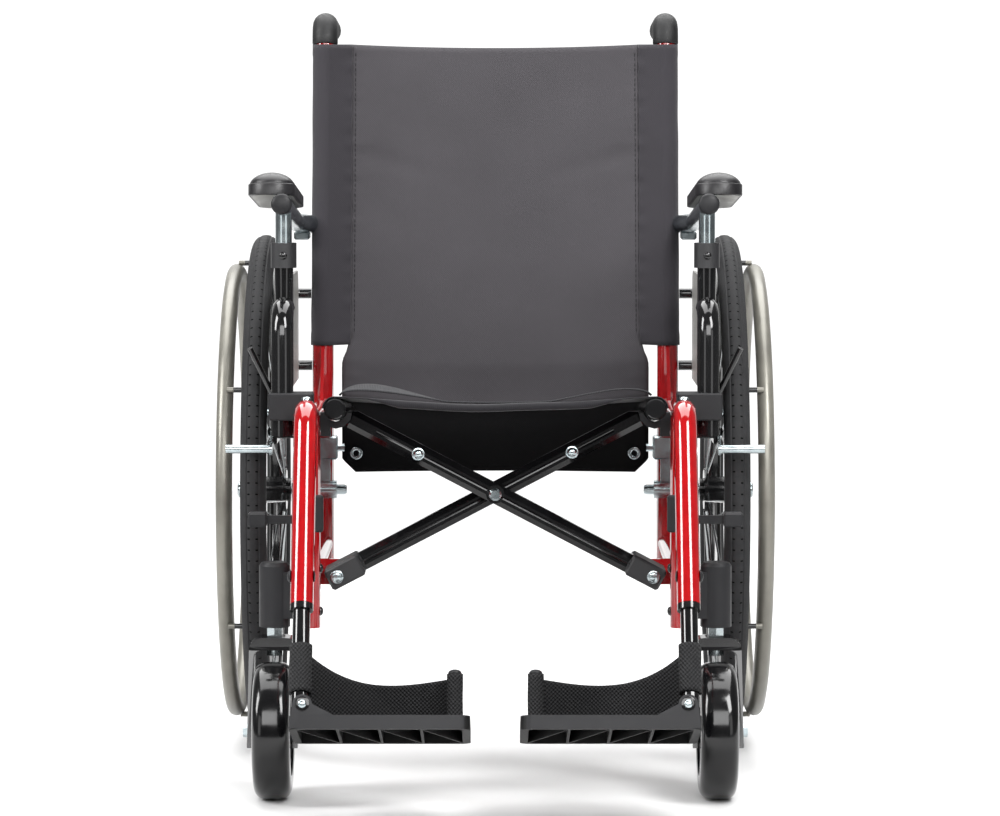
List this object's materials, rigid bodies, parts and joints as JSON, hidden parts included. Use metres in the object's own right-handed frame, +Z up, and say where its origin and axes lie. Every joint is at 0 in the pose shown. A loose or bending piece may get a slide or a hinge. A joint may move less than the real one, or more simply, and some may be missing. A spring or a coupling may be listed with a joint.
{
  "type": "folding manual wheelchair",
  "caption": "Folding manual wheelchair with a painted tube frame, cross-brace, spoked rear wheels with handrims, swivel casters, swing-away footrests and height-adjustable armrests.",
  "frame": {"origin": "middle of the box that bounds the chair, on the floor", "axes": "+X to the right as seen from the front, -Y forward, +Z up"},
  "size_m": [0.637, 0.9634, 0.8767],
  "materials": {
    "red_frame": "gloss candy red",
    "black_paint": "gloss black",
    "grey_plastic": "moulded grain",
    "tyre": "matt rubber",
    "grip_rubber": "ribbed matt",
    "urethane": "gloss solid tyre",
    "zinc": "bright plated",
    "satin_titanium": "satin grey",
    "fabric": "woven nylon",
    "webbing": "coarse webbing",
    "strap": "ribbed grey strap",
    "vinyl": "grained vinyl",
    "pale_plastic": "smooth pale grey"
  },
  "bodies": {
    "left_frame": {"left_side_frame": "red_frame", "left_push_grip": "grip_rubber", "left_axle_receiver": "zinc", "left_quick_release_axle": "zinc", "left_caster_housing": "grey_plastic", "left_arm_frame": "black_paint", "left_side_panel": "pale_plastic", "left_arm_socket": "grey_plastic", "left_wheel_lock_body": "black_paint", "back_upholstery": "fabric"},
    "left_wheel": {"left_rear_tyre": "tyre", "left_rear_rim": "black_paint", "left_rear_hub": "black_paint", "left_handrim": "satin_titanium"},
    "left_caster": {"left_caster_fork": "black_paint", "left_caster_axle": "zinc"},
    "left_caster_wheel": {"left_caster_tyre": "urethane", "left_caster_hub": "grey_plastic"},
    "left_hanger": {"left_hanger_tube": "red_frame", "left_footrest_extension": "black_paint"},
    "left_latch": {"left_hanger_latch": "grey_plastic"},
    "left_foot": {"left_footplate": "grey_plastic", "left_heel_loop": "webbing"},
    "left_arm": {"left_arm_tube": "zinc", "left_armpad": "vinyl"},
    "left_lock_lever": {"left_wheel_lock_lever": "black_paint"},
    "left_lock_shoe": {"left_wheel_lock_shoe": "zinc"},
    "right_frame": {"right_side_frame": "red_frame", "right_push_grip": "grip_rubber", "right_axle_receiver": "zinc", "right_quick_release_axle": "zinc", "right_caster_housing": "grey_plastic", "right_arm_frame": "black_paint", "right_side_panel": "pale_plastic", "right_arm_socket": "grey_plastic", "right_wheel_lock_body": "black_paint"},
    "right_wheel": {"right_rear_tyre": "tyre", "right_rear_rim": "black_paint", "right_rear_hub": "black_paint", "right_handrim": "satin_titanium"},
    "right_caster": {"right_caster_fork": "black_paint", "right_caster_axle": "zinc"},
    "right_caster_wheel": {"right_caster_tyre": "urethane", "right_caster_hub": "grey_plastic"},
    "right_hanger": {"right_hanger_tube": "red_frame", "right_footrest_extension": "black_paint"},
    "right_latch": {"right_hanger_latch": "grey_plastic"},
    "right_foot": {"right_footplate": "grey_plastic", "right_heel_loop": "webbing"},
    "right_arm": {"right_arm_tube": "zinc", "right_armpad": "vinyl"},
    "right_lock_lever": {"right_wheel_lock_lever": "black_paint"},
    "right_lock_shoe": {"right_wheel_lock_shoe": "zinc"},
    "brace_a": {"brace_a": "black_paint", "brace_pivot_bolt": "zinc", "right_seat_rail": "black_paint"},
    "brace_b": {"brace_b": "black_paint", "left_seat_rail": "black_paint"},
    "seat": {"seat_sling": "fabric", "fold_strap": "strap"}
  },
  "joints": [
    {"name": "fold", "type": "hinge", "parent": "left_frame", "child": "brace_a", "pos_m": [-0.1775, -0.1303, 0.238], "axis": [0, -1, 0], "range_deg": [0, 50], "deforming": ["seat_sling", "fold_strap", "back_upholstery"]},
    {"name": "brace_cross", "type": "hinge", "parent": "brace_a", "child": "brace_b", "pos_m": [0, -0.1553, 0.331], "axis": [0, -1, 0], "range_deg": [-100, 0]},
    {"name": "right_frame_pivot", "type": "hinge", "parent": "brace_b", "child": "right_frame", "pos_m": [0.1775, -0.1553, 0.238], "axis": [0, -1, 0], "range_deg": [0, 50]},
    {"name": "seat_turn", "type": "hinge", "parent": "brace_b", "child": "seat", "pos_m": [-0.1775, 0.1767, 0.424], "axis": [0, -1, 0], "range_deg": [0, 50]},
    {"name": "left_wheel_spin", "type": "hinge", "parent": "left_frame", "child": "left_wheel", "pos_m": [-0.274, 0.1767, 0.305], "axis": [1, 0, 0], "continuous": true},
    {"name": "left_caster_swivel", "type": "hinge", "parent": "left_frame", "child": "left_caster", "pos_m": [-0.2454, -0.2033, 0.176], "axis": [0, 0, 1], "continuous": true},
    {"name": "left_caster_roll", "type": "hinge", "parent": "left_caster", "child": "left_caster_wheel", "pos_m": [-0.2454, -0.2433, 0.076], "axis": [1, 0, 0], "continuous": true},
    {"name": "left_hanger_swing", "type": "hinge", "parent": "left_frame", "child": "left_hanger", "pos_m": [-0.207, -0.2033, 0.311], "axis": [0, 0, -1], "range_deg": [0, 90]},
    {"name": "left_latch_turn", "type": "hinge", "parent": "left_hanger", "child": "left_latch", "pos_m": [-0.207, -0.2461, 0.311], "axis": [0, -1, 0], "range_deg": [0, 15]},
    {"name": "left_foot_flip", "type": "hinge", "parent": "left_hanger", "child": "left_foot", "pos_m": [-0.203, -0.442, 0.13], "axis": [0, -0.9659, 0.2588], "range_deg": [0, 90], "deforming": ["left_heel_loop"]},
    {"name": "left_arm_height", "type": "slide", "parent": "left_frame", "child": "left_arm", "axis": [0, 0, 1], "range_m": [0, 0.07]},
    {"name": "left_lock_lever_turn", "type": "hinge", "parent": "left_frame", "child": "left_lock_lever", "pos_m": [-0.2525, -0.1083, 0.419], "axis": [1, 0, 0], "range_deg": [0, 45]},
    {"name": "left_lock_shoe_turn", "type": "hinge", "parent": "left_frame", "child": "left_lock_shoe", "pos_m": [-0.2525, -0.0853, 0.395], "axis": [1, 0, 0], "range_deg": [0, 20]},
    {"name": "right_wheel_spin", "type": "hinge", "parent": "right_frame", "child": "right_wheel", "pos_m": [0.274, 0.1767, 0.305], "axis": [1, 0, 0], "continuous": true},
    {"name": "right_caster_swivel", "type": "hinge", "parent": "right_frame", "child": "right_caster", "pos_m": [0.2454, -0.2033, 0.176], "axis": [0, 0, 1], "continuous": true},
    {"name": "right_caster_roll", "type": "hinge", "parent": "right_caster", "child": "right_caster_wheel", "pos_m": [0.2454, -0.2433, 0.076], "axis": [1, 0, 0], "continuous": true},
    {"name": "right_hanger_swing", "type": "hinge", "parent": "right_frame", "child": "right_hanger", "pos_m": [0.207, -0.2033, 0.311], "axis": [0, 0, 1], "range_deg": [0, 90]},
    {"name": "right_latch_turn", "type": "hinge", "parent": "right_hanger", "child": "right_latch", "pos_m": [0.207, -0.2461, 0.311], "axis": [0, 1, 0], "range_deg": [0, 15]},
    {"name": "right_foot_flip", "type": "hinge", "parent": "right_hanger", "child": "right_foot", "pos_m": [0.203, -0.442, 0.13], "axis": [0, 0.9659, -0.2588], "range_deg": [0, 90], "deforming": ["right_heel_loop"]},
    {"name": "right_arm_height", "type": "slide", "parent": "right_frame", "child": "right_arm", "axis": [0, 0, 1], "range_m": [0, 0.07]},
    {"name": "right_lock_lever_turn", "type": "hinge", "parent": "right_frame", "child": "right_lock_lever", "pos_m": [0.2525, -0.1083, 0.419], "axis": [1, 0, 0], "range_deg": [0, 45]},
    {"name": "right_lock_shoe_turn", "type": "hinge", "parent": "right_frame", "child": "right_lock_shoe", "pos_m": [0.2525, -0.0853, 0.395], "axis": [1, 0, 0], "range_deg": [0, 20]}
  ],
  "couplings": [
    {"joint": "brace_cross", "follows": "fold", "ratio": -2},
    {"joint": "right_frame_pivot", "follows": "fold", "ratio": 1},
    {"joint": "seat_turn", "follows": "fold", "ratio": 1},
    {"joint": "left_foot_flip", "follows": "fold", "ratio": 1.8},
    {"joint": "left_lock_shoe_turn", "follows": "left_lock_lever_turn", "ratio": 0.4444},
    {"joint": "right_foot_flip", "follows": "fold", "ratio": 1.8},
    {"joint": "right_lock_shoe_turn", "follows": "right_lock_lever_turn", "ratio": 0.4444}
  ]
}
